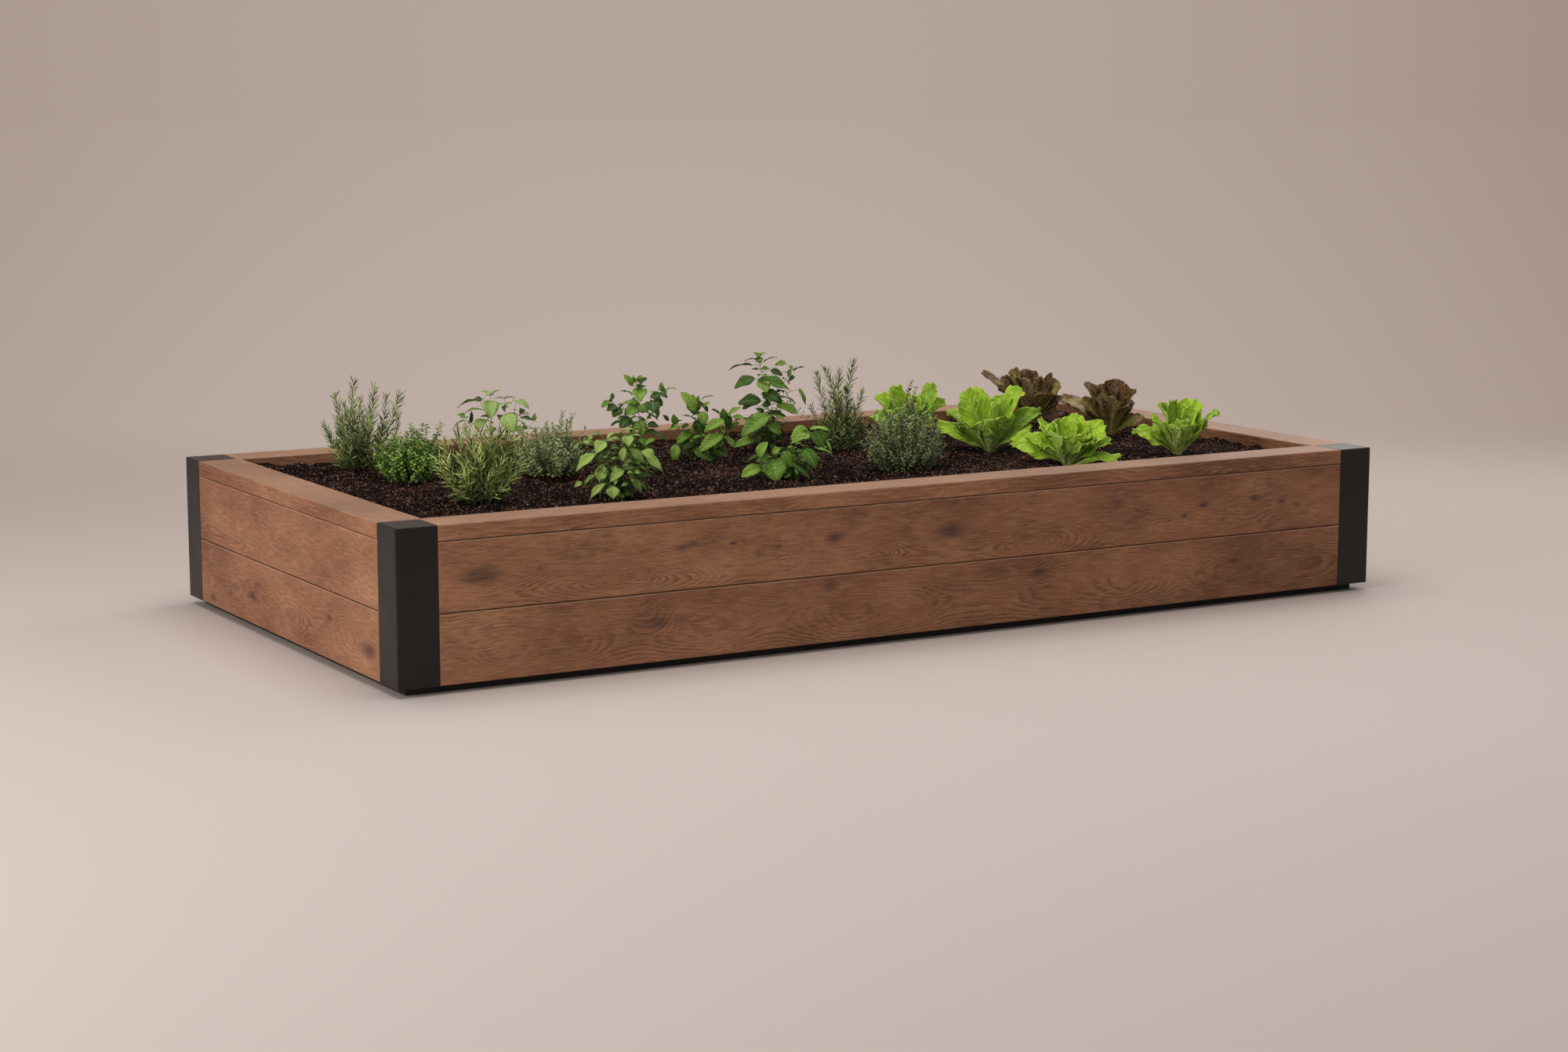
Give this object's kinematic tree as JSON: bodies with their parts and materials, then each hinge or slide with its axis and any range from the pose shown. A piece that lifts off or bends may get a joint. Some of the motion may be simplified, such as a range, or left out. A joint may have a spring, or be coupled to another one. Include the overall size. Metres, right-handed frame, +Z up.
{
  "type": "raised garden bed",
  "caption": "Low rectangular timber raised bed with black steel corner posts on a recessed plinth, filled with soil and planted with herbs and lettuces.",
  "frame": {"origin": "on the ground under the middle of the bed", "axes": "+X along the long side, +Y from the front to the back, +Z up"},
  "size_m": [2.4, 1.2, 0.5357],
  "materials": {
    "post_steel": "matt black powder coat on steel tube",
    "bracket_steel": "black zinc on folded steel",
    "plinth_timber": "timber stained black",
    "wall_timber": "oiled brown hardwood boards with visible grain",
    "rim_timber": "oiled brown hardwood rail, paler on top",
    "base_timber": "sawn softwood",
    "liner_plastic": "black polythene sheet liner",
    "soil": "dark bark and peat compost with pale specks",
    "rosemary_green": "needle leaves, paler underneath",
    "oregano_green": "small round leaves",
    "thyme_green": "tiny grey-green leaves",
    "sage_green": "soft oval leaves",
    "basil_green": "smooth pointed leaves",
    "mint_green": "veined toothed leaves",
    "lettuce_green": "glossy ruffled leaves",
    "lettuce_red": "ruffled leaves, red brown with green hearts"
  },
  "bodies": {
    "root": {"front_plinth": "plinth_timber", "front_left_post": "post_steel", "front_board_1": "wall_timber", "front_board_2": "wall_timber", "front_rail": "rim_timber", "front_left_bracket": "bracket_steel", "right_plinth": "plinth_timber", "front_right_post": "post_steel", "right_board_1": "wall_timber", "right_board_2": "wall_timber", "right_rail": "rim_timber", "front_right_bracket": "bracket_steel", "back_plinth": "plinth_timber", "back_right_post": "post_steel", "back_board_1": "wall_timber", "back_board_2": "wall_timber", "back_rail": "rim_timber", "back_right_bracket": "bracket_steel", "left_plinth": "plinth_timber", "back_left_post": "post_steel", "left_board_1": "wall_timber", "left_board_2": "wall_timber", "left_rail": "rim_timber", "back_left_bracket": "bracket_steel", "bearer_1": "base_timber", "bearer_2": "base_timber", "bearer_3": "base_timber", "base_board_1": "base_timber", "base_board_2": "base_timber", "base_board_3": "base_timber", "base_board_4": "base_timber", "base_board_5": "base_timber", "base_board_6": "base_timber", "base_board_7": "base_timber", "liner": "liner_plastic", "soil": "soil", "rosemary_left_back": "rosemary_green", "rosemary_left_front": "rosemary_green", "rosemary_centre": "rosemary_green", "oregano_left": "oregano_green", "thyme_left": "thyme_green", "thyme_centre": "thyme_green", "sage_left_back": "sage_green", "basil_left_front": "basil_green", "mint_left": "mint_green", "mint_centre": "mint_green", "mint_tall": "mint_green", "mint_front": "mint_green", "green_lettuce_back": "lettuce_green", "green_lettuce_middle": "lettuce_green", "green_lettuce_front": "lettuce_green", "green_lettuce_right": "lettuce_green", "red_lettuce_back": "lettuce_red", "red_lettuce_right": "lettuce_red"}
  },
  "joints": []
}
